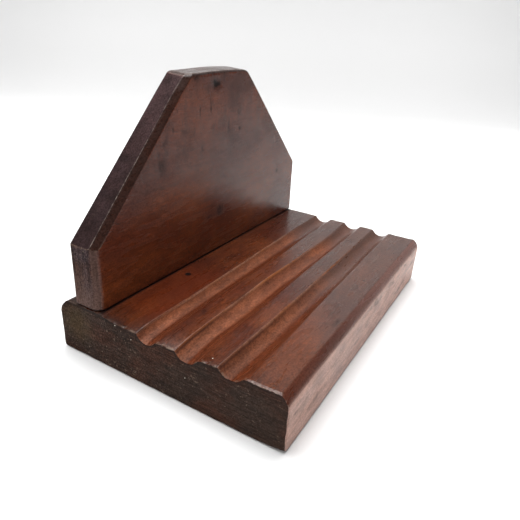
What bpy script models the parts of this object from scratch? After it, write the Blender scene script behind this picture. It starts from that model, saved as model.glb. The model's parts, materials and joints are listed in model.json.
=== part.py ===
"""Fluted bench block for working the edges of leather straps.

Two boards: a thick base whose top carries three long coves, and an upright board with both
upper corners sawn off, standing on edge near the back of the base. Three wood screws, driven
up from under the base, hold the upright.

X runs along the coves, Y from the front of the base to its back, Z up. The origin is the
centre of the underside of the base. All lengths are in metres.
"""

import math

import bmesh
import bpy
from mathutils import Matrix, Vector

OBJECT_NAME = "fluted_edge_block"
GAP = 0.0003                      # clearance between pieces that touch
MERGE = 0.00001                   # largest merge distance of any modifier

# Base block
BASE_LENGTH = 0.221
BASE_WIDTH = 0.150
BASE_HEIGHT = 0.034
FRONT_TOP_ROUND = 0.0055          # radius along the upper front edge
BACK_TOP_ROUND = 0.0080           # radius along the upper back edge
FRONT_BOTTOM_ROUND = 0.0015       # radius along the lower front edge
BACK_BOTTOM_ROUND = 0.0028        # radius along the lower back edge
END_EASE = 0.0006                 # softening of the sawn ends and of the cove edges

# Coves along the top of the base
COVE_COUNT = 3
COVE_PITCH = 0.0257
FIRST_COVE_FROM_FRONT = 0.0310
COVE_WIDTH = 0.0155
COVE_DEPTH = 0.0043

# Upright board; near is the -X end, far is the +X end
BOARD_THICKNESS = 0.0175
BOARD_SETBACK = 0.0151            # from the back face of the base to the board
BOARD_HEIGHT = 0.1195
NEAR_SHOULDER = 0.0366            # height of the vertical part of the near end
FAR_SHOULDER = 0.0433
TOP_EDGE_NEAR = 0.0792            # start of the level top edge, from the near end
TOP_EDGE_LENGTH = 0.0628
BOARD_EASE = 0.0018               # softening of every edge above the joint

# Wood screws, No. 8 by 2 inch, driven upwards
SCREW_SPACING = 0.075
SCREW_NAMES = ("near", "middle", "far")
SCREW_LENGTH = 0.050
SHANK_RADIUS = 0.0021
CORE_RADIUS = 0.0014
HEAD_RADIUS = 0.0041
HEAD_RIM = 0.0004                 # straight rim under the flat of the head
HEAD_CONE = HEAD_RADIUS - SHANK_RADIUS
SLOT_WIDTH = 0.0012
SLOT_DEPTH = 0.0011
THREAD_LENGTH = 0.030
THREAD_PITCH = 0.0022
RINGS_PER_TURN = 4
POINT_LENGTH = 0.004
SCREW_SEGMENTS = 12
RECESS_DEPTH = 0.006              # head sits this far inside the underside
RECESS_RADIUS = 0.0050

COVE_SEGMENTS = 56                # around the full circle of a cove
HOLE_SEGMENTS = 16
ROUND_SEGMENTS = 4
SMOOTH_ANGLE = math.radians(35)

BOARD_Y = BASE_WIDTH / 2 - BOARD_SETBACK - BOARD_THICKNESS / 2
BOARD_BOTTOM = BASE_HEIGHT + GAP
TOP_EDGE_FAR = TOP_EDGE_NEAR + TOP_EDGE_LENGTH

WOOD_BASE = ("base_wood", (0.105, 0.040, 0.026, 1.0), 0.42, 0.0)
WOOD_BOARD = ("board_wood", (0.120, 0.050, 0.034, 1.0), 0.38, 0.0)
STEEL = ("screw_steel", (0.30, 0.29, 0.28, 1.0), 0.45, 1.0)


def clear_scene():
    for old in list(bpy.data.objects):
        bpy.data.objects.remove(old, do_unlink=True)


def new_collection(name):
    collection = bpy.data.collections.new(name)
    bpy.context.scene.collection.children.link(collection)
    return collection


def principled(name, colour, roughness, metallic):
    material = bpy.data.materials.new(name)
    material.use_nodes = True
    shader = material.node_tree.nodes["Principled BSDF"]
    shader.inputs["Base Color"].default_value = colour
    shader.inputs["Roughness"].default_value = roughness
    shader.inputs["Metallic"].default_value = metallic
    return material


def add_object(name, mesh, collection):
    result = bpy.data.objects.new(name, mesh)
    collection.objects.link(result)
    return result


def add_mesh(name, bm, collection):
    mesh = bpy.data.meshes.new(name)
    bm.to_mesh(mesh)
    bm.free()
    return add_object(name, mesh, collection)


def box_mesh(size, centre):
    bm = bmesh.new()
    place = Matrix.Translation(centre) @ Matrix.Diagonal((*size, 1.0))
    bmesh.ops.create_cube(bm, size=1.0, matrix=place)
    return bm


def round_edges(bm, edges, radius):
    bmesh.ops.bevel(bm, geom=list(edges), offset=radius, segments=ROUND_SEGMENTS,
                    profile=0.5, affect="EDGES", clamp_overlap=True)


def as_cutter(cutter):
    cutter.hide_render = True
    cutter.display_type = "WIRE"
    return cutter


def cut(target, cutter):
    modifier = target.modifiers.new("cut_" + cutter.name, "BOOLEAN")
    modifier.operation = "DIFFERENCE"
    modifier.solver = "EXACT"
    modifier.object = cutter


def shade(target):
    target.data.shade_smooth()
    target.data.set_sharp_from_angle(angle=SMOOTH_ANGLE)


def frozen(source, name, collection):
    """A plain mesh object with the source's evaluated shape in world space; the source goes."""
    bpy.context.view_layer.update()
    depsgraph = bpy.context.evaluated_depsgraph_get()
    mesh = bpy.data.meshes.new_from_object(source.evaluated_get(depsgraph))
    mesh.transform(source.matrix_world)
    mesh.name = name
    bpy.data.objects.remove(source, do_unlink=True)
    return add_object(name, mesh, collection)


def turned(name, profile, segments, collection):
    """A closed turned shape; the profile is (radius, height) points from top to bottom."""
    mesh = bpy.data.meshes.new(name)
    edges = [(index, index + 1) for index in range(len(profile) - 1)]
    mesh.from_pydata([(radius, 0.0, height) for radius, height in profile], edges, [])
    result = add_object(name, mesh, collection)
    spin = result.modifiers.new("turn", "SCREW")
    spin.axis = "Z"
    spin.steps = segments
    spin.render_steps = segments
    spin.use_merge_vertices = True
    spin.merge_threshold = MERGE
    return result


def cove_cutters(collection):
    """One cylinder along X for each cove, sized from the cove's width and depth."""
    half_width = COVE_WIDTH / 2
    radius = (half_width ** 2 + COVE_DEPTH ** 2) / (2 * COVE_DEPTH)
    lengthwise = Matrix.Rotation(math.radians(90), 4, "Y")
    cutters = []
    for index in range(COVE_COUNT):
        bm = bmesh.new()
        bmesh.ops.create_cone(bm, cap_ends=True, segments=COVE_SEGMENTS, radius1=radius,
                              radius2=radius, depth=BASE_LENGTH * 1.2, matrix=lengthwise)
        cutter = as_cutter(add_mesh("cove_cutter_%d" % (index + 1), bm, collection))
        cutter.location.y = -BASE_WIDTH / 2 + FIRST_COVE_FROM_FRONT + index * COVE_PITCH
        cutter.location.z = BASE_HEIGHT - COVE_DEPTH + radius
        cutters.append(cutter)
    return cutters


def base_block(collection):
    """A rectangular block, its four long edges rounded."""
    size = (BASE_LENGTH, BASE_WIDTH, BASE_HEIGHT)
    bm = box_mesh(size, Vector((0.0, 0.0, BASE_HEIGHT / 2)))

    def long_edges(test):
        chosen = []
        for edge in bm.edges:
            start, end = (vertex.co for vertex in edge.verts)
            if abs(start.x - end.x) > BASE_LENGTH / 2 and test(start):
                chosen.append(edge)
        return chosen

    middle = BASE_HEIGHT / 2
    round_edges(bm, long_edges(lambda p: p.z > middle and p.y < 0), FRONT_TOP_ROUND)
    back_top = long_edges(lambda p: p.z > BASE_HEIGHT - MERGE and p.y > BASE_WIDTH / 2 - MERGE)
    round_edges(bm, back_top, BACK_TOP_ROUND)
    round_edges(bm, long_edges(lambda p: p.z < MERGE and p.y < 0), FRONT_BOTTOM_ROUND)
    round_edges(bm, long_edges(lambda p: p.z < MERGE and p.y > 0), BACK_BOTTOM_ROUND)
    return add_mesh("base_block", bm, collection)


def board_outline():
    """The upright's side view as (x, z) corners, in order."""
    near_end = -BASE_LENGTH / 2
    far_end = BASE_LENGTH / 2
    return [
        (near_end, 0.0),
        (far_end, 0.0),
        (far_end, FAR_SHOULDER),
        (near_end + TOP_EDGE_FAR, BOARD_HEIGHT),
        (near_end + TOP_EDGE_NEAR, BOARD_HEIGHT),
        (near_end, NEAR_SHOULDER),
    ]


def upright_board(collection):
    """The six-sided outline, extruded to the board's thickness and eased above the joint."""
    outline = bpy.data.curves.new("board_outline", "CURVE")
    outline.dimensions = "2D"
    outline.fill_mode = "BOTH"
    outline.extrude = BOARD_THICKNESS / 2
    corners = board_outline()
    spline = outline.splines.new("POLY")
    spline.points.add(len(corners) - 1)
    for point, (x, z) in zip(spline.points, corners):
        point.co = (x, z, 0.0, 1.0)
    spline.use_cyclic_u = True

    flat = add_object("board_outline", outline, collection)
    flat.rotation_euler.x = math.radians(90)
    flat.location = (0.0, BOARD_Y, BOARD_BOTTOM)
    board = frozen(flat, "upright_board", collection)

    bm = bmesh.new()
    bm.from_mesh(board.data)
    bmesh.ops.remove_doubles(bm, verts=bm.verts, dist=MERGE)
    bmesh.ops.recalc_face_normals(bm, faces=bm.faces)
    above_joint = [edge for edge in bm.edges
                   if max(vertex.co.z for vertex in edge.verts) > BOARD_BOTTOM + MERGE
                   and edge.calc_face_angle() > SMOOTH_ANGLE / 2]
    round_edges(bm, above_joint, BOARD_EASE)
    bm.to_mesh(board.data)
    bm.free()
    return board


def screw_profile():
    """(radius, height) of the screw from its point down to its head, head at height 0."""
    points = [(0.0, SCREW_LENGTH)]
    thread_top = SCREW_LENGTH - POINT_LENGTH
    step = THREAD_PITCH / RINGS_PER_TURN
    rings = round(THREAD_LENGTH / step)
    for index in range(rings + 1):
        points.append((CORE_RADIUS, thread_top - index * step))
    thread_bottom = points[-1][1]
    points.append((SHANK_RADIUS, thread_bottom - step))
    points.append((SHANK_RADIUS, HEAD_RIM + HEAD_CONE))
    points.append((HEAD_RADIUS, HEAD_RIM))
    points.append((HEAD_RADIUS, 0.0))
    points.append((0.0, 0.0))
    return points


def raise_thread(mesh):
    """Push the core outwards along a right-hand helix, fading out at both of its ends."""
    thread_top = SCREW_LENGTH - POINT_LENGTH
    thread_bottom = thread_top - THREAD_LENGTH
    crest = SHANK_RADIUS - CORE_RADIUS
    for vertex in mesh.vertices:
        x, y, z = vertex.co
        if math.hypot(x, y) < CORE_RADIUS / 2 or not thread_bottom < z < thread_top:
            continue
        turn = (z / THREAD_PITCH - math.atan2(y, x) / math.tau) % 1.0
        ridge = max(0.0, 1.0 - abs(turn - 0.5) * 3.0)
        fade = min(1.0, (thread_top - z) / THREAD_PITCH, (z - thread_bottom) / THREAD_PITCH)
        scale = 1.0 + crest * ridge * fade / CORE_RADIUS
        vertex.co.x = x * scale
        vertex.co.y = y * scale


def hole_profile():
    """(radius, height) of the bored hole for one screw, from its blind end to the underside."""
    clearance = SHANK_RADIUS + GAP
    head_height = RECESS_DEPTH
    return [
        (0.0, head_height + SCREW_LENGTH + GAP),
        (CORE_RADIUS, head_height + SCREW_LENGTH + GAP - CORE_RADIUS / 2),
        (clearance, head_height + SCREW_LENGTH - POINT_LENGTH + GAP),
        (clearance, head_height + HEAD_RIM + HEAD_CONE + GAP),
        (HEAD_RADIUS + GAP, head_height + HEAD_RIM + GAP),
        (RECESS_RADIUS, head_height + HEAD_RIM),
        (RECESS_RADIUS, -RECESS_DEPTH),
        (0.0, -RECESS_DEPTH),
    ]


def fixing_screw(name, place, parts, cutters):
    """A slotted countersunk wood screw standing head down at the given place."""
    blank = turned(name, screw_profile(), SCREW_SEGMENTS, parts)
    screw = frozen(blank, name, parts)
    raise_thread(screw.data)
    screw.location = place

    slot_size = Vector((HEAD_RADIUS * 3, SLOT_WIDTH, SLOT_DEPTH * 2))
    slot = as_cutter(add_mesh(name + "_slot", box_mesh(slot_size, Vector()), cutters))
    slot.location = place
    cut(screw, slot)
    shade(screw)
    return screw


def build():
    clear_scene()
    parts = new_collection(OBJECT_NAME)
    cutters = new_collection("cutters")

    base = base_block(parts)
    for cutter in cove_cutters(cutters):
        cut(base, cutter)
    board = upright_board(parts)

    steel = principled(*STEEL)
    for index, label in enumerate(SCREW_NAMES):
        x = (index - 1) * SCREW_SPACING
        place = Vector((x, BOARD_Y, RECESS_DEPTH))
        screw = fixing_screw("fixing_screw_" + label, place, parts, cutters)
        screw.data.materials.append(steel)
        hole = as_cutter(turned("hole_cutter_" + label, hole_profile(), HOLE_SEGMENTS, cutters))
        hole.location = (x, BOARD_Y, 0.0)
        cut(base, hole)
        cut(board, hole)

    ease = base.modifiers.new("ease", "BEVEL")
    ease.width = END_EASE
    ease.segments = 2
    ease.limit_method = "ANGLE"
    ease.angle_limit = math.radians(40)

    base.data.materials.append(principled(*WOOD_BASE))
    board.data.materials.append(principled(*WOOD_BOARD))
    shade(base)
    shade(board)


build()
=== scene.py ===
"""The looks of the fluted edge block: two worn hardwood boards and the steel screws that join them.

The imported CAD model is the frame. Each board is rebuilt here as a fine mesh in the same place,
with the wear of long use worked into its shape, and then gets a procedural wood material.
X runs along the coves from the near end to the far end, Y from front to back, Z up, in metres.
"""

import json
import math

import bmesh
import bpy
import numpy as np
from mathutils import Matrix, Vector


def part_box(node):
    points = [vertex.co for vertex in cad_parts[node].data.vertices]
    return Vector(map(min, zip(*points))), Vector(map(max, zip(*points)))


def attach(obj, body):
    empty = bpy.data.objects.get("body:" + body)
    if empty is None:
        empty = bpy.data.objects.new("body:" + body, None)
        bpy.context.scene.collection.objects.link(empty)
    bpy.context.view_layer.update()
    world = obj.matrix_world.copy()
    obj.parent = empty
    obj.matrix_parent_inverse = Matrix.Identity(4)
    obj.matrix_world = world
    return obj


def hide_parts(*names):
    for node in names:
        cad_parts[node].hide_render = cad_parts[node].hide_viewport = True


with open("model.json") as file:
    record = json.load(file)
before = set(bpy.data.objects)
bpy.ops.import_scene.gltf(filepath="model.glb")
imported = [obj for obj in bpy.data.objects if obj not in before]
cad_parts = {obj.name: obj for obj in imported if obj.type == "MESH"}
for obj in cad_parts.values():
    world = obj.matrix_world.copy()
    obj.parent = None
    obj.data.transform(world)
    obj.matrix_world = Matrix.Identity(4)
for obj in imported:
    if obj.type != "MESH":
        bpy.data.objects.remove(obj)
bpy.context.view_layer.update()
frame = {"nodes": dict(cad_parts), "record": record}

MM = 0.001
BASE_LOW, BASE_HIGH = (np.array(corner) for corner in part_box("base_block"))
BOARD_LOW, BOARD_HIGH = (np.array(corner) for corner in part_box("upright_board"))
LENGTH, WIDTH, HEIGHT = BASE_HIGH - BASE_LOW
SCREWS = sorted(name for name in frame["nodes"] if name.startswith("fixing_screw"))

# Places on the boards, in millimetres from the near, front, lower corner of the base
BASE_TOP = float(HEIGHT / MM)
BOARD_FRONT = float((BOARD_LOW[1] - BASE_LOW[1]) / MM)

# Base: edge shapes as (reach in Y, reach in Z, how flat: 0 is an arc, 1 a plain chamfer)
FRONT_TOP = (4.8 * MM, 5.6 * MM, 0.75)
BACK_TOP = (7.6 * MM, 8.8 * MM, 0.6)
FRONT_BOTTOM = (1.4 * MM, 1.4 * MM, 0.1)
BACK_BOTTOM = (2.8 * MM, 2.8 * MM, 0.1)
COVE_WIDTH = 15.5 * MM
COVE_DEPTH = 4.3 * MM
COVE_CENTRES = [
    (opening["box_m"][0][1] + opening["box_m"][1][1]) / 2 - BASE_LOW[1]
    for opening in frame["record"]["physics"]["openings"]
]

# How far each cove edge strays towards the back, in millimetres, at equal stations from the
# near end to the far; one row for each cove, the front one first
FRONT_EDGE_WANDER = (
    (1.0, 0.2, 0.6, 0.8, 1.6, 1.8),
    (1.8, 1.6, 1.2, 0.7, 0.4, 0.4),
    (3.4, 3.0, 2.0, 1.5, 1.6, 1.5),
)
BACK_EDGE_WANDER = (
    (0.2, -0.5, -0.8, -0.7, -0.2, 0.0),
    (0.6, 0.6, 0.9, -1.0, -2.2, -0.8),
    (0.6, -0.6, 0.0, 0.5, 0.4, 0.2),
)

# How soft the shoulders of a cove are worn, and how much more its front one is at the near end
BACK_SHOULDER = 0.16 * MM
FRONT_SHOULDER = 0.20 * MM
NEAR_SHOULDER_WEAR = 0.75 * MM
NEAR_WEAR_LENGTH = 60 * MM

# Upright: how far its faces stand out from the CAD faces at the joint and at the top
BOARD_FRONT_SWELL = (0.45 * MM, -0.85 * MM)
BOARD_BACK_SWELL = (0.80 * MM, -1.00 * MM)
TOP_CROWN = 0.9 * MM
TOP_TILT = 1.1 * MM
WIDEST_CUT = 3.5 * MM

# Wood colours, linear
RED_BROWN = (0.070, 0.0150, 0.0060)
ORANGE_BROWN = (0.128, 0.032, 0.0100)
BRIGHT_ORANGE = (0.230, 0.068, 0.0160)
WARM_RED = (0.160, 0.022, 0.0030)
COVE_BROWN = (0.078, 0.0185, 0.0066)
DARK_BROWN = (0.030, 0.0080, 0.0050)
BLACKENED = (0.010, 0.0060, 0.0055)
DULL_BROWN = (0.040, 0.0260, 0.0220)
COVE_WOOD = (0.190, 0.061, 0.0275)
ROUNDED_BROWN = (0.140, 0.055, 0.0400)
ARRIS_WOOD = (0.250, 0.105, 0.0560)
DRY_WOOD = (0.400, 0.220, 0.1670)
LIP_WOOD = (0.440, 0.290, 0.2350)
KNOT = (0.110, 0.045, 0.0280)
FADED_RED = (0.112, 0.026, 0.0140)
GRIME = (0.034, 0.022, 0.0200)
SHADE_BROWN = (0.022, 0.0150, 0.0115)
END_GRAIN = (0.042, 0.0180, 0.0115)
BROWN_GRAIN = (0.032, 0.0190, 0.0140)
GREY_GRAIN = (0.046, 0.0290, 0.0300)
CUT_GRAIN = (0.028, 0.0150, 0.0155)
PALE_GRAIN = (0.120, 0.068, 0.0540)
CHAMFER_BROWN = (0.022, 0.0090, 0.0062)
OLIVE_GRAIN = (0.056, 0.0370, 0.0180)
FIBRE = (0.170, 0.115, 0.0850)
WORN_HIGHLIGHT_LINE = (0.230, 0.185, 0.1600)
DUST = (0.550, 0.490, 0.4200)
BRIGHT_STEEL = (0.46, 0.44, 0.42)
BROWN_STEEL = (0.20, 0.15, 0.11)

# Blemishes: place and half sizes in millimetres, darkness, dent depth in millimetres.
# On the base a place is along X from the near end and back from the front, on the board
# it is along X and up from the floor. A small one has a sharp outline, the others a ragged one.
SMALL_MARK = 2.5
MARK_REACH = 5
BASE_MARKS = (
    (66, 109, 2.45, 2.5, 1.0, 0.70),
    (90, 61.5, 6.5, 3.0, 0.9, 0.15),
    (127, 12.5, 1.2, 1.0, 0.6, 0.20),
    (69, 7.5, 7.0, 1.6, 0.55, 0.10),
    (60, 66, 14.0, 2.2, 0.35, 0.0),
    (36, 74, 4.0, 2.0, 0.45, 0.15),
    (104, 101, 13.0, 5.0, 0.30, 0.0),
    (150, 92, 5.0, 1.6, 0.35, 0.0),
)
BOARD_MARKS = (
    (107, 146.3, 6.6, 4.2, 1.3, 0.60),
    (112, 63, 6.0, 4.6, 0.85, 0.20),
    (100, 61, 8.0, 1.4, 0.6, 0.10),
    (54, 104, 5.0, 7.0, 0.55, 0.10),
    (57, 117, 3.0, 2.4, 0.4, 0.05),
    (121, 118, 2.6, 4.5, 0.65, 0.15),
    (134, 116, 1.6, 1.5, 0.9, 0.25),
    (92, 108, 3.4, 3.0, 0.6, 0.10),
    (192, 75, 2.6, 1.6, 0.8, 0.30),
    (86, 151, 7.0, 4.0, 0.7, 0.10),
    (128, 109, 9.0, 7.0, 0.35, 0.0),
    (60, 128, 8.0, 5.0, 0.35, 0.0),
    (90, 131, 1.0, 5.0, 0.45, 0.05),
)

# Specks of dust: place and radius
DUST_SPECKS = (
    ((63.5, 67.2, 33.0), 0.50), ((4.6, 45.0, 33.2), 0.42), ((0.0, 106.0, 30.8), 0.45),
    ((0.0, 94.7, 26.3), 0.35), ((0.0, 58.6, 17.8), 0.35),
)

# Stage, in metres; the view line is the camera's heading over the floor
VIEW_LINE = Vector((0.871, 0.491, 0.0))
VIEW_ACROSS = Vector((-VIEW_LINE.y, VIEW_LINE.x, 0.0))
PAPER_START = -4.0
PAPER_BEND_AT = 0.95
PAPER_BEND = 0.45
PAPER_STEPS = 16
PAPER_TOP = 1.7
PAPER_HALF_WIDTH = 4.0
PALE_SURROUNDINGS = 0.93


# ---------------------------------------------------------------- number helpers

def lattice_noise(points, cell, seed):
    """Smooth value noise in -1..1; one value per point, the same each run."""
    scaled = np.asarray(points, float) / cell
    corner = np.floor(scaled).astype(np.int64)
    part = scaled - corner
    part = part * part * (3.0 - 2.0 * part)
    total = np.zeros(len(scaled))
    for offset in range(8):
        bits = np.array([offset & 1, (offset >> 1) & 1, (offset >> 2) & 1])
        key = (corner + bits) * np.array([73856093, 19349663, 83492791])
        value = (key[:, 0] ^ key[:, 1] ^ key[:, 2] ^ (seed * 374761393)) & 0xFFFFFFFF
        value = ((value ^ (value >> 13)) * 1274126177) & 0xFFFFFFFF
        value = (value ^ (value >> 16)) / 0xFFFFFFFF
        weight = np.prod(np.where(bits, part, 1.0 - part), axis=1)
        total += weight * value
    return total * 2.0 - 1.0


def smooth_step(low, high, value):
    t = np.clip((value - low) / (high - low), 0.0, 1.0)
    return t * t * (3.0 - 2.0 * t)


def spaced(stops, steps):
    """Rising values through every stop, with about the given step between each pair."""
    values = [stops[0]]
    for low, high, step in zip(stops, stops[1:], steps):
        count = max(1, round((high - low) / step))
        values.extend(low + (high - low) * (index + 1) / count for index in range(count))
    return np.array(values)


def along(offsets, x):
    """Smooth curve through equally spaced offsets, in millimetres, over the base's length."""
    place = np.clip(x / LENGTH, 0.0, 1.0) * (len(offsets) - 1)
    index = np.minimum(place.astype(int), len(offsets) - 2)
    part = place - index
    part = part * part * (3.0 - 2.0 * part)
    values = np.array(offsets)
    return (values[index] * (1.0 - part) + values[index + 1] * part) * MM


def dents(marks, first, second):
    """Depth of the dents of a list of blemishes, at places in metres."""
    depth = np.zeros_like(first)
    for across, up, half_across, half_up, _, dent in marks:
        off_first = (first / MM - across) / (0.6 * half_across)
        off_second = (second / MM - up) / (0.6 * half_up)
        depth += dent * MM * np.exp(-off_first ** 2 - off_second ** 2)
    return depth


# ---------------------------------------------------------------- mesh helpers

def box_grid(xs, ys, zs):
    """Points and outward quads of the surface of a block cut at the given coordinates."""
    shape = (len(xs), len(ys), len(zs))
    inside = np.zeros(shape, bool)
    inside[1:-1, 1:-1, 1:-1] = True
    places = np.argwhere(~inside)
    number = np.full(shape, -1)
    number[tuple(places.T)] = np.arange(len(places))
    points = np.column_stack([xs[places[:, 0]], ys[places[:, 1]], zs[places[:, 2]]])

    quads = []
    for sheet, flip in (
        (number[:, :, 0], True), (number[:, :, -1], False),
        (number[:, 0, :], False), (number[:, -1, :], True),
        (number[0, :, :], True), (number[-1, :, :], False),
    ):
        quad = np.stack([sheet[:-1, :-1], sheet[1:, :-1], sheet[1:, 1:], sheet[:-1, 1:]], -1)
        quad = quad.reshape(-1, 4)
        quads.append(quad[:, ::-1] if flip else quad)
    return points, np.concatenate(quads)


def scene_object(name, mesh):
    result = bpy.data.objects.new(name, mesh)
    bpy.context.scene.collection.objects.link(result)
    return result


def mesh_of(name, bm):
    """Turn a finished bmesh into a mesh."""
    mesh = bpy.data.meshes.new(name)
    bm.to_mesh(mesh)
    bm.free()
    return mesh


def with_modifiers(target):
    """A new mesh of the object as its modifiers leave it."""
    bpy.context.view_layer.update()
    depsgraph = bpy.context.evaluated_depsgraph_get()
    return bpy.data.meshes.new_from_object(target.evaluated_get(depsgraph))


def mesh_object(name, points, faces):
    mesh = bpy.data.meshes.new(name)
    mesh.from_pydata(points.tolist(), [], faces.tolist())
    mesh.validate()
    return scene_object(name, mesh)


def keep_values(mesh, name, values):
    """Store one number per point, for a material to read."""
    mesh.attributes.new(name, "FLOAT", "POINT").data.foreach_set("value", values.astype(np.float32))


def coordinates(mesh):
    values = np.empty(len(mesh.vertices) * 3, np.float32)
    mesh.vertices.foreach_get("co", values)
    return values.reshape(-1, 3).astype(float)


def set_coordinates(mesh, points):
    mesh.vertices.foreach_set("co", points.astype(np.float32).ravel())
    mesh.update()


def turned(name, profile, segments, centre):
    """A closed turned solid from (radius, height) points, bottom to top; both end radii are 0."""
    bm = bmesh.new()
    rings = []
    for radius, height in profile:
        if radius == 0.0:
            rings.append([bm.verts.new((centre[0], centre[1], height))])
            continue
        ring = []
        for index in range(segments):
            angle = math.tau * index / segments
            x = centre[0] + radius * math.cos(angle)
            ring.append(bm.verts.new((x, centre[1] + radius * math.sin(angle), height)))
        rings.append(ring)
    for low, high in zip(rings, rings[1:]):
        for index in range(segments):
            after = (index + 1) % segments
            corners = [low[index % len(low)], low[after % len(low)],
                       high[after % len(high)], high[index % len(high)]]
            bm.faces.new(list(dict.fromkeys(corners)))
    bmesh.ops.recalc_face_normals(bm, faces=bm.faces)
    return scene_object(name, mesh_of(name, bm))


def close_slivers(mesh):
    """Close up the edges shorter than a hundredth of a millimetre that cuts leave behind."""
    bm = bmesh.new()
    bm.from_mesh(mesh)
    bmesh.ops.dissolve_degenerate(bm, dist=0.01 * MM, edges=bm.edges)
    bm.to_mesh(mesh)
    bm.free()


def bore_for_screws(target):
    """Sink the clearance holes of the three screws into a board, each with its wider recess."""
    start = BASE_LOW[2] - 4 * MM
    for name in SCREWS:
        low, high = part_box(name)
        centre = (low + high) / 2
        head = (high.x - low.x) / 2
        recess = head + 0.9 * MM
        bore = head / 2 + 0.4 * MM
        seat = low.z + 0.7 * MM
        profile = [
            (0.0, start), (recess, start), (recess, low.z + 0.4 * MM), (head + 0.3 * MM, seat),
            (bore, seat + head / 2), (bore, high.z - 3 * MM), (0.0, high.z + 0.4 * MM),
        ]
        cutter = turned("bore", profile, 32, centre)
        cut = target.modifiers.new("bore", "BOOLEAN")
        cut.operation = "DIFFERENCE"
        cut.solver = "MANIFOLD"
        cut.object = cutter
        finished = with_modifiers(target)
        target.modifiers.clear()
        target.data = finished
        bpy.data.objects.remove(cutter, do_unlink=True)
    close_slivers(target.data)


# ---------------------------------------------------------------- base

def cove_depth(y, x, centre):
    """Depth of one cove below the top, on the unworn grid, with soft shoulders."""
    half = COVE_WIDTH / 2
    radius = (half ** 2 + COVE_DEPTH ** 2) / (2 * COVE_DEPTH)
    away = np.abs(y - centre)
    reach = np.minimum(away, half)
    arc = np.sqrt(radius ** 2 - reach ** 2) - (radius - COVE_DEPTH)
    arc -= np.maximum(away - half, 0.0) * half / math.sqrt(radius ** 2 - half ** 2)
    front_soft = FRONT_SHOULDER + NEAR_SHOULDER_WEAR * np.exp(-x / NEAR_WEAR_LENGTH)
    soft = np.where(y > centre, BACK_SHOULDER, front_soft)
    return 0.5 * (arc + np.sqrt(arc ** 2 + 4 * soft ** 2))


def top_wear(x, y):
    """How far use has lowered the top, mostly behind the coves at the near end."""
    middle = smooth_step(30 * MM, 66 * MM, y) * (1 - smooth_step(104 * MM, 122 * MM, y))
    near_end = 2.1 * MM * middle * np.exp(-x / (9 * MM))
    flat = np.column_stack([x, y, np.zeros_like(x)])
    hollow = 0.22 * MM * (1 + lattice_noise(flat, 45 * MM, 3))
    ripple = 0.06 * MM * lattice_noise(flat, 9 * MM, 4)
    edge_fade = smooth_step(0.0, 8 * MM, y) * (1 - smooth_step(WIDTH - 8 * MM, WIDTH, y))
    under_board = smooth_step(114 * MM, 117 * MM, y) * (1 - smooth_step(135 * MM, 138 * MM, y))
    return near_end + (hollow + ripple) * edge_fade * (1 - under_board) + dents(BASE_MARKS, x, y)


def edge_shift(x, y):
    """Sideways stray of the cove edges, fading out across the flats between them."""
    still = np.zeros_like(x)
    places, stops = [0.0], [still]
    for centre, front, back in zip(COVE_CENTRES, FRONT_EDGE_WANDER, BACK_EDGE_WANDER):
        places.extend([centre - COVE_WIDTH / 2, centre + COVE_WIDTH / 2])
        stops.extend([along(front, x), along(back, x)])
    places.extend([COVE_CENTRES[-1] + COVE_WIDTH, WIDTH])
    stops.extend([still, still])
    shift = np.zeros_like(x)
    for low, high, first, second in zip(places, places[1:], stops, stops[1:]):
        band = (y >= low) & (y < high)
        part = (y[band] - low) / (high - low)
        shift[band] = first[band] * (1 - part) + second[band] * part
    return shift


def fold_corner(first, second, reach_first, reach_second, flatness):
    """Round the square corner at zero of two coordinates; returns the two new coordinates."""
    a = 1.0 - first / reach_first
    b = 1.0 - second / reach_second
    inside = (a > 0) & (b > 0)
    reach = np.maximum(a, b)
    turn = np.arctan2(b, a)
    share = turn / (math.pi / 2)
    new_a = reach * (np.cos(turn) * (1 - flatness) + (1 - share) * flatness)
    new_b = reach * (np.sin(turn) * (1 - flatness) + share * flatness)
    return (np.where(inside, reach_first * (1 - new_a), first),
            np.where(inside, reach_second * (1 - new_b), second))


def base_stations():
    """Grid lines of the base: close together at its ends, its edges and its cove edges."""
    xs = spaced([0, 2.4 * MM, 8 * MM, LENGTH - 8 * MM, LENGTH - 2.4 * MM, LENGTH],
                [0.4 * MM, 0.8 * MM, 1.5 * MM, 0.8 * MM, 0.4 * MM])
    stops, steps = [0, FRONT_TOP[0]], [0.7 * MM]
    for centre in COVE_CENTRES:
        for edge in (centre - COVE_WIDTH / 2, centre + COVE_WIDTH / 2):
            stops.extend([edge - 0.9 * MM, edge + 0.9 * MM])
            steps.extend([0.8 * MM, 0.3 * MM])
    stops.extend([117.5 * MM, 134.5 * MM, WIDTH - BACK_TOP[0], WIDTH])
    steps.extend([0.8 * MM, 2.8 * MM, 1.5 * MM, 0.8 * MM])
    ys = spaced(stops, steps)
    zs = spaced([0, 5 * MM, HEIGHT - BACK_TOP[1], HEIGHT], [0.7 * MM, 2.0 * MM, 0.8 * MM])
    return xs, ys, zs


def ease_ends(x, y, z):
    """Draw in the rim of both end faces, so that the end edges are soft and a little uneven."""
    wobble = 1 + 0.5 * lattice_noise(np.column_stack([x, y, z]), 5 * MM, 8)
    grip = 0.4 * MM * (smooth_step(1.2 * MM, 0.0, x) + smooth_step(LENGTH - 1.2 * MM, LENGTH, x))
    rim_y = smooth_step(WIDTH / 2 - 1.2 * MM, WIDTH / 2, np.abs(y - WIDTH / 2))
    rim_z = smooth_step(HEIGHT / 2 - 1.2 * MM, HEIGHT / 2, np.abs(z - HEIGHT / 2))
    y = y - np.sign(y - WIDTH / 2) * rim_y * grip * wobble
    z = z - np.sign(z - HEIGHT / 2) * rim_z * grip * wobble
    return y, z


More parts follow.
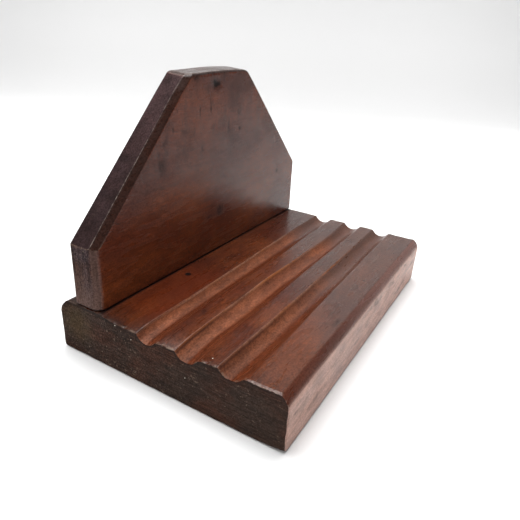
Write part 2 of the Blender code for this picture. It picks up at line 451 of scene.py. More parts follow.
def worn_base():
    """The base as one fine mesh, with the values that its material reads."""
    xs, ys, zs = base_stations()
    points, quads = box_grid(xs, ys, zs)
    x, y, z = points.T.copy()
    grid_y = y.copy()
    coves = sum(cove_depth(grid_y, x, centre) for centre in COVE_CENTRES)
    depth = (top_wear(x, grid_y) + coves) * smooth_step(0.0, 9 * MM, grid_y)
    chip = lattice_noise(points, 2.2 * MM, 11) + 0.8 * lattice_noise(points, 1.2 * MM, 12)
    chip_reach = (1.3 + 0.9 * lattice_noise(points, 7 * MM, 13)) * MM
    depth += 0.5 * MM * smooth_step(1.0, 0.0, x / chip_reach) * smooth_step(-0.1, 1.0, chip)
    y += edge_shift(x, grid_y)

    below = top = HEIGHT - z
    on_top = below < 0.05 * MM
    y, top = fold_corner(y, top, *FRONT_TOP)
    z = HEIGHT - top
    back, top = fold_corner(WIDTH - y, HEIGHT - z, *BACK_TOP)
    y, z = WIDTH - back, HEIGHT - top
    y, z = fold_corner(y, z, *FRONT_BOTTOM)
    back, z = fold_corner(WIDTH - y, z, *BACK_BOTTOM)
    y = WIDTH - back
    corner_wear = (0.5 + 3.6 * np.exp(-y / (9 * MM))) * MM
    x, z = fold_corner(x, z, corner_wear, corner_wear, 0.2)

    z -= depth * (z / HEIGHT) ** 2
    y, z = ease_ends(x, y, z)
    points = np.column_stack([x, y, z])
    side = 0.10 * MM * lattice_noise(points, 30 * MM, 21)
    points[:, 1] += side * np.where(points[:, 1] < WIDTH / 2, 1.0, -1.0)
    base = mesh_object("worn_base", points + BASE_LOW, quads)
    keep_values(base.data, "cove", np.where(on_top, coves / COVE_DEPTH, 0.0))
    keep_values(base.data, "below", below)
    bore_for_screws(base)
    base.data.shade_smooth()
    base.data.set_sharp_from_angle(angle=math.radians(50))
    return base


# ---------------------------------------------------------------- upright board

def outline_planes(node):
    """Lines (nx, nz, offset) of the large faces that bound the node in side view, in order."""
    mesh = frame["nodes"][node].data
    areas = {}
    for polygon in mesh.polygons:
        normal = polygon.normal
        if abs(normal.y) > 0.01:
            continue
        key = (round(normal.x, 2), round(normal.z, 2))
        area, line = areas.get(key, (0.0, None))
        offset = normal.x * polygon.center.x + normal.z * polygon.center.z
        areas[key] = (area + polygon.area, (normal.x, normal.z, offset))
    smallest = 300 * MM * MM
    lines = [line for area, line in areas.values() if area > smallest]
    return sorted(lines, key=lambda line: math.atan2(line[1], line[0]))


def outline_corners(lines):
    corners = []
    for index, (ax, az, a) in enumerate(lines):
        bx, bz, b = lines[(index + 1) % len(lines)]
        determinant = ax * bz - az * bx
        corners.append(((a * bz - az * b) / determinant, (ax * b - a * bx) / determinant))
    return corners


class BoardEdge:
    """Where an edge of the sharp board outline runs, for choosing how it is worn."""

    def __init__(self, edge):
        start, end = (vertex.co for vertex in edge.verts)
        self.middle = (start + end) / 2
        self.across = abs(start.y - end.y) > 5 * MM
        self.front = self.middle.y < (BOARD_LOW[1] + BOARD_HIGH[1]) / 2
        self.near = self.middle.x < -40 * MM
        self.upright = abs(start.x - end.x) < MM
        self.bottom = self.middle.z < BOARD_LOW[2] + MM
        self.top = self.middle.z > BOARD_HIGH[2] - MM

    def chamfer(self):
        """Width of the flat cut down the near slope and the near end's front corner."""
        if self.across or not self.front or not self.near or self.bottom or self.top:
            return 0.0
        return 3.3 * MM if self.upright else 3.2 * MM

    def ease(self):
        if self.bottom:
            return 0.7 * MM
        if self.across and self.middle.z > BOARD_HIGH[2] - 8 * MM:
            return 2.9 * MM if self.middle.x > 0 else 2.4 * MM
        if self.across:
            return 0.8 * MM
        if self.front and self.near:
            return 2.2 * MM if self.upright else 0.45 * MM
        if self.front and self.top:
            return 1.8 * MM
        return 1.0 * MM


def bevel_by(bm, width_of, segments):
    """Bevel each edge by its own width, all in one go so that the corners meet."""
    weight = bm.edges.layers.float.get("bevel_weight_edge")
    if weight is None:
        weight = bm.edges.layers.float.new("bevel_weight_edge")
    for edge in bm.edges:
        edge[weight] = width_of(edge) / WIDEST_CUT
    blank = scene_object("blank", mesh_of("blank", bm))
    bevel = blank.modifiers.new("bevel", "BEVEL")
    bevel.width = WIDEST_CUT
    bevel.segments = segments
    bevel.limit_method = "WEIGHT"
    bevel.miter_outer = "MITER_SHARP"
    finished = with_modifiers(blank)
    bpy.data.objects.remove(blank, do_unlink=True)
    result = bmesh.new()
    result.from_mesh(finished)
    return result


def sliced(bm, axis, low, high, step):
    """Cut the surface into strips across one axis."""
    normal = Vector((axis == 0, axis == 1, axis == 2))
    for place in np.arange(low + step, high - step / 2, step):
        geometry = bm.verts[:] + bm.edges[:] + bm.faces[:]
        bmesh.ops.bisect_plane(bm, geom=geometry, dist=1e-6,
                               plane_co=normal * float(place), plane_no=normal)


def board_blank():
    """The six-sided board with sharp edges, standing where the CAD board stands."""
    corners = outline_corners(outline_planes("upright_board"))
    bm = bmesh.new()
    front = [bm.verts.new((x, BOARD_LOW[1], z)) for x, z in corners]
    back = [bm.verts.new((x, BOARD_HIGH[1], z)) for x, z in corners]
    bm.faces.new(front)
    bm.faces.new(list(reversed(back)))
    for index in range(len(corners)):
        after = (index + 1) % len(corners)
        bm.faces.new((front[after], front[index], back[index], back[after]))
    bmesh.ops.recalc_face_normals(bm, faces=bm.faces)
    return bm


def worn_board():
    """The upright as one fine mesh: cut, eased, bored and worn out of true."""
    bm = bevel_by(board_blank(), lambda edge: BoardEdge(edge).chamfer(), 1)

    def ease(edge):
        sharp = edge.is_manifold and edge.calc_face_angle() > math.radians(12)
        return BoardEdge(edge).ease() if sharp else 0.0

    bm = bevel_by(bm, ease, 3)
    sliced(bm, 0, BOARD_LOW[0], BOARD_HIGH[0], 1.3 * MM)
    sliced(bm, 2, BOARD_LOW[2], BOARD_HIGH[2], 1.3 * MM)
    sliced(bm, 1, BOARD_LOW[1], BOARD_HIGH[1], 2.2 * MM)
    board = scene_object("worn_board", mesh_of("worn_board", bm))
    bore_for_screws(board)

    points = coordinates(board.data)
    x, y, z = points.T.copy()
    height = np.clip((z - BOARD_LOW[2]) / (BOARD_HIGH[2] - BOARD_LOW[2]), 0, 1)
    front_out = BOARD_FRONT_SWELL[0] * (1 - height) + BOARD_FRONT_SWELL[1] * height
    back_out = BOARD_BACK_SWELL[0] * (1 - height) + BOARD_BACK_SWELL[1] * height
    share = (y - BOARD_LOW[1]) / (BOARD_HIGH[1] - BOARD_LOW[1])
    y += back_out * share - front_out * (1 - share)
    wave = 0.14 * MM * lattice_noise(points, 38 * MM, 31)
    wave += 0.03 * MM * lattice_noise(points, 8 * MM, 32)
    wave += dents(BOARD_MARKS, x - BOARD_LOW[0], z - BASE_LOW[2]) * (share < 0.3)
    y += wave * np.where(share < 0.5, 1, -1)
    rise = smooth_step(BOARD_HIGH[2] - 12 * MM, BOARD_HIGH[2], z)
    across = np.clip((x + 31 * MM) / (62 * MM), 0, 1)
    z += rise * TOP_CROWN * (np.sin(across ** 1.3 * math.pi) * 0.8 - 0.7 + 0.8 * across)
    z += rise * TOP_TILT * (share - 0.6)
    set_coordinates(board.data, np.column_stack([x, y, z]))
    board.data.shade_smooth()
    board.data.set_sharp_from_angle(angle=math.radians(35))
    return board


# ---------------------------------------------------------------- materials

class Graph:
    """A short way to write a material's nodes."""

    def __init__(self, name):
        self.material = bpy.data.materials.new(name)
        self.material.use_nodes = True
        self.tree = self.material.node_tree
        self.shader = self.tree.nodes["Principled BSDF"]
        self.place = self.add("ShaderNodeTexCoord").outputs["Object"]

    def add(self, kind, **settings):
        node = self.tree.nodes.new(kind)
        for key, value in settings.items():
            setattr(node, key, value)
        return node

    def put(self, socket, value):
        if isinstance(value, bpy.types.NodeSocket):
            self.tree.links.new(value, socket)
        elif isinstance(value, tuple) and len(value) == 3 and socket.type == "RGBA":
            socket.default_value = (*value, 1.0)
        else:
            socket.default_value = value

    def shade(self, **inputs):
        """Connect or set inputs of the shader; an underscore in a name stands for a space."""
        for name, value in inputs.items():
            self.put(self.shader.inputs[name.replace("_", " ")], value)

    def math(self, operation, first, second=0.0, clamp=False):
        node = self.add("ShaderNodeMath", operation=operation, use_clamp=clamp)
        self.put(node.inputs[0], first)
        self.put(node.inputs[1], second)
        return node.outputs[0]

    def vector(self, operation, first, *others):
        node = self.add("ShaderNodeVectorMath", operation=operation)
        for socket, value in zip(node.inputs, (first, *others)):
            self.put(socket, value)
        return node.outputs["Value" if operation in ("LENGTH", "DOT_PRODUCT") else "Vector"]

    def axis(self, vector, letter):
        node = self.add("ShaderNodeSeparateXYZ")
        self.put(node.inputs[0], vector)
        return node.outputs[letter]

    def value(self, name):
        """A number stored on the mesh."""
        return self.add("ShaderNodeAttribute", attribute_name=name).outputs["Fac"]

    def noise(self, factors, detail=3.0, roughness=0.55, distortion=0.0, offset=(0.0, 0.0, 0.0),
              output="Fac"):
        """Noise whose cells are a metre divided by each factor, along each axis."""
        node = self.add("ShaderNodeTexNoise")
        self.put(node.inputs["Vector"], self.vector("MULTIPLY_ADD", self.place, factors, offset))
        for socket, number in (("Scale", 1.0), ("Detail", detail), ("Roughness", roughness),
                               ("Distortion", distortion)):
            node.inputs[socket].default_value = number
        return node.outputs[output]

    def range(self, value, low, high, out_low=0.0, out_high=1.0):
        """Smooth step from one output to the other while the value goes from low to high."""
        node = self.add("ShaderNodeMapRange", interpolation_type="SMOOTHSTEP")
        self.put(node.inputs["Value"], value)
        for socket, number in zip(("From Min", "From Max", "To Min", "To Max"),
                                  (low, high, out_low, out_high)):
            node.inputs[socket].default_value = number
        return node.outputs["Result"]

    def within(self, mask, factor):
        """The factor inside a mask, 1 outside it."""
        return self.range(mask, 0.0, 1.0, 1.0, factor)

    def blend(self, factor, first, second):
        """A number between two others."""
        step = self.math("SUBTRACT", second, first)
        return self.math("ADD", first, self.math("MULTIPLY", factor, step))

    def mix(self, factor, first, second):
        """A colour between two others."""
        node = self.add("ShaderNodeMix", data_type="RGBA")
        self.put(node.inputs[0], factor)
        self.put(node.inputs[6], first)
        self.put(node.inputs[7], second)
        return node.outputs[2]

    def all(self, *values):
        """Product of several masks or numbers."""
        result = values[0]
        for value in values[1:]:
            result = self.math("MULTIPLY", result, value)
        return result

    def scale(self, colour, *factors):
        for factor in factors:
            node = self.add("ShaderNodeVectorMath", operation="SCALE")
            self.put(node.inputs[0], colour)
            self.put(node.inputs["Scale"], factor)
            colour = node.outputs["Vector"]
        return colour

    def bump(self, height, distance, strength=1.0, under=None):
        node = self.add("ShaderNodeBump")
        self.put(node.inputs["Height"], height)
        node.inputs["Distance"].default_value = distance
        node.inputs["Strength"].default_value = strength
        if under is not None:
            self.put(node.inputs["Normal"], under)
        return node.outputs["Normal"]


class Wood(Graph):
    """Nodes that both boards share.

    Places are in millimetres from the near, front, lower corner of the base: x along the coves,
    y towards the back, z up. side and up are the Y and Z parts of the surface normal, and end is
    1 on the faces across the grain.
    """

    def __init__(self, name, full_end):
        super().__init__(name)
        from_corner = self.vector("SUBTRACT", self.place, tuple(float(low) for low in BASE_LOW))
        self.exact_place = self.scale(from_corner, 1 / MM)
        self.x, self.y, self.z = (self.axis(self.exact_place, letter) for letter in "XYZ")
        normal = self.add("ShaderNodeNewGeometry").outputs["Normal"]
        self.side = self.axis(normal, "Y")
        self.up = self.axis(normal, "Z")
        self.end = self.range(self.math("ABSOLUTE", self.axis(normal, "X")), 0.5, full_end)
        self.speckle = self.noise((850, 1050, 1050), roughness=0.75, offset=(0.3, 0.6, 0.9))
        coarse = self.noise((260, 260, 260), roughness=0.7, output="Color")
        shake = self.vector("MULTIPLY_ADD", coarse, (4.5,) * 3, (-2.25,) * 3)
        self.shaken_place = self.vector("ADD", self.exact_place, shake)

    def grit(self, strength):
        """A fine, uneven brightness around 1, in the same places wherever it is used."""
        return self.range(self.speckle, 0.3, 0.7, 1 + strength, 1 - strength)

    def spot(self, centre, radii, sharp=False):
        """1 at the centre of an ellipsoid, 0 outside it; soft and uneven unless sharp."""
        place = self.exact_place if sharp else self.shaken_place
        away = self.vector("SUBTRACT", place, tuple(centre))
        length = self.vector("LENGTH", self.vector("DIVIDE", away, tuple(radii)))
        return self.range(length, 1.0, 0.6 if sharp else 0.1)


def long_grain(g, brightness):
    """Colour of the faces along the grain, and the two heights that shape their relief."""
    blotch = g.noise((16, 26, 26))
    streak = g.noise((9, 240, 240), detail=5, roughness=0.6, distortion=0.5)
    smear = g.noise((200, 330, 330), detail=4, roughness=0.65, offset=(0.0, 3.0, 5.0))
    fine = g.noise((90, 1000, 1000), roughness=0.7)
    pore = g.noise((600, 1000, 1000), detail=2, offset=(5.0, 2.0, 7.0))
    colour = g.mix(g.range(blotch, 0.38, 0.66), RED_BROWN, ORANGE_BROWN)
    colour = g.mix(g.range(streak, 0.42, 0.80, 0.0, 0.4), colour, DARK_BROWN)
    colour = g.scale(colour,
                     g.range(smear, 0.3, 0.7, 1.18 * brightness, 0.82 * brightness),
                     g.range(fine, 0.3, 0.7, 1.16, 0.84),
                     g.grit(0.42))
    colour = g.mix(g.range(pore, 0.68, 0.76, 0.0, 0.5), colour, BLACKENED)
    grain = g.math("ADD", g.all(fine, 0.5), g.speckle)
    return colour, streak, grain


def end_grain(g, scratch_factors, weathered, contrast):
    """Colour of sawn end grain, and its saw scratches."""
    scratch = g.noise(scratch_factors, roughness=0.7, distortion=0.4)
    cloud = g.noise((34, 34, 48), detail=4, roughness=0.6, offset=(1.0, 2.0, 0.0))
    rough_side = g.range(g.y, 35, 125, 0.45, 1.0)
    fleck = g.noise((520, 380, 520), roughness=0.7, offset=(7.0, 1.0, 3.0))
    colour = g.mix(g.range(cloud, 0.38, 0.62), END_GRAIN, weathered)
    colour = g.scale(colour, g.range(scratch, 0.30, 0.70, 1 - contrast, 1 + contrast))
    gritty = g.mix(rough_side, colour, g.scale(colour, g.grit(0.75)))
    flecks = g.all(g.range(fleck, 0.62, 0.68), g.range(cloud, 0.38, 0.58, 0.2, 1.0), rough_side)
    return g.mix(flecks, gritty, FIBRE), scratch


def marked(g, colour, marks, through, level):
    """Add the dark blemishes of the face that lies at a level of the axis of that number.

    Returns the new colour and how much the blemishes dull the sheen.
    """
    broken = g.range(g.noise((700, 700, 700), roughness=0.7), 0.38, 0.58, 0.45, 1.3)
    dull = 0.0
    for first, second, half_first, half_second, darkness, _ in marks:
        small = half_first < SMALL_MARK
        centre = [first, second]
        centre.insert(through, level)
        radii = [half_first, half_second if small else half_second + 1]
        radii.insert(through, MARK_REACH)
        strength = darkness if small else g.all(broken, darkness)
        mask = g.math("MULTIPLY", g.spot(centre, radii, sharp=small), strength, clamp=True)
        colour = g.mix(mask, colour, BLACKENED)
        dull = g.math("MAXIMUM", dull, mask)
    return colour, dull


def finish_wood(g, colour, sheen, roughness, streak, grain, scratch):
    """Connect the colour, sheen and relief; the ends shine least and show the saw's scratches."""
    relief = g.bump(streak, 0.20 * MM, 0.2)
    relief = g.bump(grain, 0.12 * MM, 0.45, relief)
    relief = g.bump(g.all(scratch, g.end), 0.35 * MM, 0.8, relief)
    specular = g.all(g.range(g.end, 0.0, 1.0, 0.5, 0.08), sheen)
    g.shade(Base_Color=colour, Roughness=roughness, IOR=1.38, Normal=relief,
            Specular_IOR_Level=specular)
    return g.material


class BaseWood(Wood):
    """The base's own masks: its front face, the strip behind the upright that is painted dark as
    shade, and the wear and painted light of each cove.
    """

    def __init__(self):
        super().__init__("base_wood", 0.85)
        self.cove = self.value("cove")
        self.below = self.value("below")
        self.rub = self.noise((420, 420, 420), detail=4, roughness=0.75)
        self.far = self.range(self.math("SUBTRACT", self.x, self.all(self.y, 1.5)), -2, 68)
        self.front = self.range(self.side, -0.80, -0.97)
        # Painted shade: the strip behind the upright at the near end, darkened and with its sheen
        # halved
        self.behind = self.all(self.range(self.y, 130, 135), self.range(self.x, 50.5, 10.5))
        self.hollow = self.range(self.cove, 0.06, 0.35)
        self.front_cove = self.range(self.y, 46, 42)
        self.use = self.blend(self.front_cove,
                              self.range(self.x, 195.5, 150.5, 0.25, 1.0),
                              self.range(self.x, 140.5, 80.5, 0.15, 1.0))
        patch = self.noise((26, 70, 70), detail=4, roughness=0.6, offset=(2.0, 2.0, 2.0))
        # A spot near the near end where the pale cove wall is made lighter still
        self.lighter_spot = self.spot((20, 87, 31), (20, 8, 10))
        self.patch = self.math("MAXIMUM", self.range(patch, 0.36, 0.62, 0.55, 1.0), self.lighter_spot)

        # The middle cove is worn pale right across its floor
        middle_cove = self.all(self.range(self.y, 46, 49), self.range(self.y, 68, 65),
                               self.range(self.x, 20.5, 50.5))
        self.turn = self.math("SUBTRACT", self.side, self.all(middle_cove, 0.28))
        # Where the coves show pale: rubbed wood, with painted light on the back walls that face the
        # dim side
        self.pale = self.all(self.hollow, self.range(self.turn, 0.14, -0.26), self.use)


def lands(g, colour):
    """Flats between the coves: dull and grey at the far end and in front, partly a painted
    reflection, and dark at the near end.
    """
    colour = g.scale(colour,
                     g.range(g.x, 5.5, 70.5, 0.82, 1.0),
                     g.range(g.x, 0.5, 22.5, 0.80, 1.0))
    # Partly painted reflection: the grey-brown mixed in towards the far end stands for the grey
    # sheen seen there
    colour = g.mix(g.all(g.far, 0.55), colour, DULL_BROWN)
    light = g.all(g.range(g.y, 27, 22), g.range(g.x, 25.5, 55.5), g.range(g.x, 165.5, 135.5))
    colour = g.scale(colour, g.within(light, 1.16))
    warm = g.all(g.range(g.y, 85, 93), g.range(g.x, 90.5, 65.5), g.range(g.x, 5.5, 25.5))
    return g.mix(g.all(warm, 0.25), colour, WARM_RED)


def cove_walls(g, colour):
    """The wall behind each cove is rubbed pale, with painted light making it lighter still where it
    faces the dim side; the wall in front is brown.
    """
    mottle = g.range(g.noise((160, 300, 300), detail=4, roughness=0.7), 0.3, 0.7, 1.3, 0.7)
    near = g.all(g.range(g.y, 75, 65), g.range(g.x, 40.5, 10.5))
    # Partly painted light: the rubbed pale wood is made lighter on the back walls, which face away
    # from the light
    worn = g.scale(COVE_WOOD, g.grit(0.34), mottle,
                   g.within(g.front_cove, 0.76),
                   g.within(g.lighter_spot, 1.25),
                   g.within(near, 0.72))
    colour = g.mix(g.all(g.pale, g.patch, 0.9), colour, worn)
    falling = g.all(g.range(g.cove, 0.03, 0.15), g.range(g.turn, -0.16, 0.22),
                    g.range(g.use, 0.15, 1.0, 0.35, 0.9))
    return g.mix(falling, colour, g.scale(COVE_BROWN, g.grit(0.40), mottle))


def cove_arrises(g, colour):
    """The arris behind each cove, rubbed and given a painted highlight, and a painted shade line
    under its near end.
    """
    # Painted highlight on the rubbed arris behind each cove, strongest in one bright orange streak
    arris = g.all(g.range(g.cove, 0.006, 0.03), g.range(g.cove, 0.32, 0.12),
                  g.range(g.side, -0.03, -0.18),
                  g.range(g.rub, 0.38, 0.56, 0.25, 1.0),
                  g.range(g.x, 200.5, 130.5, 0.2, 1.0),
                  g.range(g.y, 70, 76, 0.80, 1.0),
                  g.range(g.x, 5.5, 60.5, 0.35, 1.0))
    bright = g.spot((98, 65, 33), (34, 6, 8))
    arris = g.math("MULTIPLY", arris, g.range(bright, 0.0, 0.6, 1.0, 2.2), clamp=True)
    glow = g.range(g.noise((30, 60, 60), offset=(8.0, 1.0, 0.0)), 0.46, 0.60)
    glow = g.math("MAXIMUM", glow, bright)
    colour = g.mix(arris, colour, g.mix(glow, ARRIS_WOOD, BRIGHT_ORANGE))
    # Painted shade: a dark line under the arris near the near end, where the steep wall lies in
    # shade
    line = g.all(g.range(g.cove, 0.14, 0.24), g.range(g.cove, 0.50, 0.30),
                 g.range(g.side, -0.3, -0.5),
                 g.range(g.x, 80.5, 25.5, 0.0, 0.65),
                 g.range(g.y, 67, 75, 1.0, 0.2), g.patch)
    return g.mix(line, colour, DARK_BROWN)


def front_face(g, colour):
    """The rubbed band above, and the dry, mottled face with its small knots, lighter towards the
    far end as a painted highlight, with a painted highlight along its lip.
    """
    band = g.all(g.range(g.side, -0.30, -0.50), g.range(g.side, -0.93, -0.85),
                 g.range(g.cove, 0.05, 0.0), 0.8)
    rounded = g.mix(g.range(g.x, 50.5, 150.5), RED_BROWN, ROUNDED_BROWN)
    colour = g.mix(band, colour, g.scale(rounded, g.grit(0.3)))
    smear = g.noise((70, 240, 240), detail=4, roughness=0.65, offset=(6.0, 0.0, 2.0))
    # The dry wood brightens towards the far end: a painted highlight
    dry = g.scale(DRY_WOOD, g.grit(0.26),
                  g.range(smear, 0.3, 0.7, 1.32, 0.76),
                  g.range(g.x, 90.5, 200.5, 1.0, 1.16))
    knot = g.noise((50, 130, 130), detail=4, roughness=0.65)
    dry = g.mix(g.range(knot, 0.56, 0.72, 0.0, 0.9), dry, KNOT)
    colour = g.mix(g.all(g.front, 0.9), colour, dry)
    # Painted highlight along the lip of the front face
    lip = g.all(g.range(g.side, -0.82, -0.90), g.range(g.side, -0.995, -0.96),
                g.range(g.rub, 0.3, 0.6), g.range(g.up, 0.05, 0.15), 0.6)
    return g.mix(lip, colour, LIP_WOOD)


def dirt_and_painted_shade(g, colour):
    """Painted shadow along the foot of the upright, real dirt at the near end in front of it, and
    painted shade behind it.
    """
    # Painted shadow: the base is darkened along the upright's front face, standing in for the shade
    # in the joint
    away = g.math("ABSOLUTE", g.math("SUBTRACT", g.y, BOARD_FRONT))
    colour = g.mix(g.range(away, 1.6, 0.5, 0.0, 0.9), colour, BLACKENED)
    soil = g.all(g.spot((0, 106, 34), (7, 20, 12)), g.range(g.rub, 0.35, 0.60, 0.4, 1.0), 0.8)
    colour = g.mix(soil, colour, BLACKENED)
    # Painted shade behind the upright at the near end
    return g.mix(g.all(g.behind, 0.7), colour, SHADE_BROWN)


def sawn_ends(g, colour):
    """End grain with an olive patch and a dirty rim, and the bruised arris of the near end."""
    ends, scratch = end_grain(g, (700, 70, 1150), BROWN_GRAIN, 0.40)
    olive = g.all(g.spot((0, 137, 21), (6, 19, 18)), 0.7)
    ends = g.mix(olive, ends, g.scale(OLIVE_GRAIN, g.grit(0.5)))
    dirt = g.all(g.range(g.below, 3.4 * MM, 0.4 * MM), g.range(g.rub, 0.35, 0.60, 0.5, 1.0), 0.75)
    colour = g.mix(g.end, colour, g.mix(dirt, ends, BLACKENED))
    rim = g.all(g.spot((0, 75, BASE_TOP), (2.2, 200, 10)),
                g.range(g.below, 0.9 * MM, 0.2 * MM),
                g.range(g.rub, 0.46, 0.60),
                g.range(g.y, 105, 87, 0.35, 1.0), 0.75)
    return g.mix(rim, colour, FIBRE), scratch


def base_sheen(g, dull):
    unused = g.all(g.hollow, g.range(g.x, 125.5, 165.5), g.range(g.y, 85, 75))
    return g.all(g.range(g.far, 0.0, 1.0, 0.85, 1.34),
                 g.within(g.behind, 0.5),
                 g.range(g.y, 45, 15, 1.0, 1.17),
                 g.range(g.y, 75, 110, 1.0, 0.90),
                 g.within(g.all(g.hollow, g.use), 0.42),
                 g.within(unused, 0.64),
                 g.within(dull, 0.15),
                 g.grit(0.28))


def base_roughness(g):
    polish = g.range(g.noise((40, 220, 220)), 0.3, 0.7, 0.24, 0.36)
    rough = g.math("ADD", polish, g.all(g.end, 0.25))
    rough = g.math("ADD", rough, g.all(g.pale, 0.2))
    return g.math("ADD", rough, g.all(g.front, 0.15), clamp=True)


def base_wood():
    """Oiled, handled hardwood: worn bright in the coves with painted light on their back walls, dry
    on the front with a painted highlight towards its far end, sawn on the ends.
    """
    g = BaseWood()
    colour, streak, grain = long_grain(g, 0.92)
    for lay in (lands, cove_walls, cove_arrises, front_face, dirt_and_painted_shade):
        colour = lay(g, colour)
    colour, dull = marked(g, colour, BASE_MARKS, 2, BASE_TOP)
    colour, scratch = sawn_ends(g, colour)
    for centre, radius in DUST_SPECKS:
        colour = g.mix(g.spot(centre, (radius,) * 3, sharp=True), colour, DUST)
    return finish_wood(g, colour, base_sheen(g, dull), base_roughness(g), streak, grain, scratch)


def handled_face(g, colour):
    """The upright's face: a faint curl figure, hand grime and smudges towards its top.

    Returns the new colour and how much the dirt dulls the sheen.
    """
    colour = g.scale(colour, g.range(g.x, 110.5, 200.5, 1.0, 1.22))
    high = g.range(g.z, 75, 125)
    colour = g.mix(g.all(high, 0.4), colour, FADED_RED)
    curl = g.noise((90, 90, 16), detail=2, distortion=0.6, offset=(3.0, 0.0, 1.0))
    colour = g.mix(g.all(g.range(curl, 0.40, 0.62, 0.0, 0.35), high), colour, DARK_BROWN)
    grime = g.noise((60, 60, 60), detail=5, roughness=0.7, offset=(0.0, 5.0, 2.0))
    grime = g.all(g.range(grime, 0.46, 0.70, 0.0, 0.55), high)
    colour = g.mix(grime, colour, GRIME)
    smudge = g.noise((420, 60, 110), distortion=0.3, offset=(1.0, 7.0, 4.0))
    smudge = g.all(g.range(smudge, 0.58, 0.74, 0.0, 0.6), high)
    colour = g.mix(smudge, colour, BLACKENED)
    colour, dull = marked(g, colour, BOARD_MARKS, 1, BOARD_FRONT)
    top = g.all(g.range(g.up, 0.75, 0.92), g.range(g.z, 143, 148), 0.8)
    colour = g.mix(top, colour, DULL_BROWN)
    return colour, g.math("MAXIMUM", dull, g.math("MAXIMUM", grime, smudge))


def board_ends(g, colour):
    """End grain: streaky and paler at the foot, darker and closer on the slopes, which lighten
    upwards as a painted reflection.
    """
    ends, scratch = end_grain(g, (700, 1300, 55), GREY_GRAIN, 0.6)
    foot = g.range(g.z, 62, 36, 0.0, 0.65)
    ends = g.mix(foot, ends, g.scale(PALE_GRAIN, g.grit(0.35)))
    slope = g.range(g.up, 0.35, 0.55, 0.0, 0.9)
    wash = g.noise((60, 60, 60), detail=5, roughness=0.7, offset=(3.0, 3.0, 9.0))
    # Painted reflection: the cut grain on the slopes lightens towards the top, where the slope
    # shows more sheen
    cut = g.scale(CUT_GRAIN, g.range(g.z, 80, 150, 0.75, 1.5),
                  g.range(wash, 0.3, 0.7, 1.5, 0.5), g.grit(0.4))
    ends = g.mix(slope, ends, cut)
    return g.mix(g.end, colour, ends), scratch


def board_edges(g, colour):
    """The rubbed near corner, the chamfer above it painted dark as shade with a painted highlight
    on its arris, and the foot painted dark as the shadow in the joint.
    """
    corner = g.all(g.range(g.side, -0.25, -0.45), g.range(g.side, -0.97, -0.80),
                   g.range(g.up, 0.25, 0.1), g.range(g.x, 50.5, 20.5), 0.6)
    colour = g.mix(corner, colour, g.scale(PALE_GRAIN, g.grit(0.3)))
    # Painted shade: the chamfer, which faces the dim side, is coloured dark
    chamfer = g.all(g.range(g.side, -0.35, -0.5), g.range(g.side, -0.975, -0.93),
                    g.range(g.up, 0.08, 0.2), 0.9)
    colour = g.mix(chamfer, colour, g.scale(CHAMFER_BROWN, g.grit(0.5)))
    rub = g.noise((300, 300, 300), detail=4, roughness=0.75)
    # Painted highlight along the rubbed arris between the slope and its chamfer
    arris = g.all(g.range(g.side, -0.06, -0.16), g.range(g.side, -0.46, -0.34),
                  g.range(g.up, 0.15, 0.3), g.range(rub, 0.42, 0.60, 0.10, 1.0),
                  g.range(g.z, 150, 70, 0.5, 0.9))
    colour = g.mix(arris, colour, WORN_HIGHLIGHT_LINE)
    shoulder = g.all(g.range(g.up, 0.06, 0.16), g.range(g.up, 0.48, 0.36),
                     g.range(rub, 0.38, 0.58), g.range(g.x, 10.5, 3.5), 0.6)
    colour = g.mix(shoulder, colour, FIBRE)
    # Painted shadow: the upright's foot just above the base is darkened for the shade in the joint
    foot = g.range(g.z, BASE_TOP + 1.6, BASE_TOP + 0.6, 0.0, 0.9)
    return g.mix(foot, colour, BLACKENED)


def board_wood():
    """The same wood on the upright, which hands have held."""
    g = Wood("board_wood", 0.65)
    colour, streak, grain = long_grain(g, 1.25)
    colour, dull = handled_face(g, colour)
    colour, scratch = board_ends(g, colour)
    colour = board_edges(g, colour)
    cloudy = g.noise((170, 170, 230), detail=5, roughness=0.7, offset=(4.0, 4.0, 1.0))
    sheen = g.all(g.within(dull, 0.30), g.range(g.x, 40.5, 180.5, 0.78, 1.04),
                  g.range(cloudy, 0.3, 0.7, 1.10, 0.90), g.grit(0.28))
    polish = g.range(g.noise((40, 220, 220)), 0.3, 0.7, 0.20, 0.32)
    rough = g.math("ADD", polish, g.all(g.end, 0.28))
    rough = g.math("ADD", rough, g.all(dull, 0.2), clamp=True)
    return finish_wood(g, colour, sheen, rough, streak, grain, scratch)


def steel():
    """Turned screw steel, tarnished in clouds."""
    g = Graph("screw_steel")
    tarnish = g.noise((300, 300, 300), detail=4, roughness=0.6)
    turning = g.noise((60, 60, 5000), detail=2)
    g.shade(Base_Color=g.mix(g.range(tarnish, 0.35, 0.7), BRIGHT_STEEL, BROWN_STEEL),
            Metallic=1.0,
            Roughness=g.range(tarnish, 0.3, 0.7, 0.3, 0.55),
            Normal=g.bump(turning, 0.03 * MM, 0.4))
    return g.material


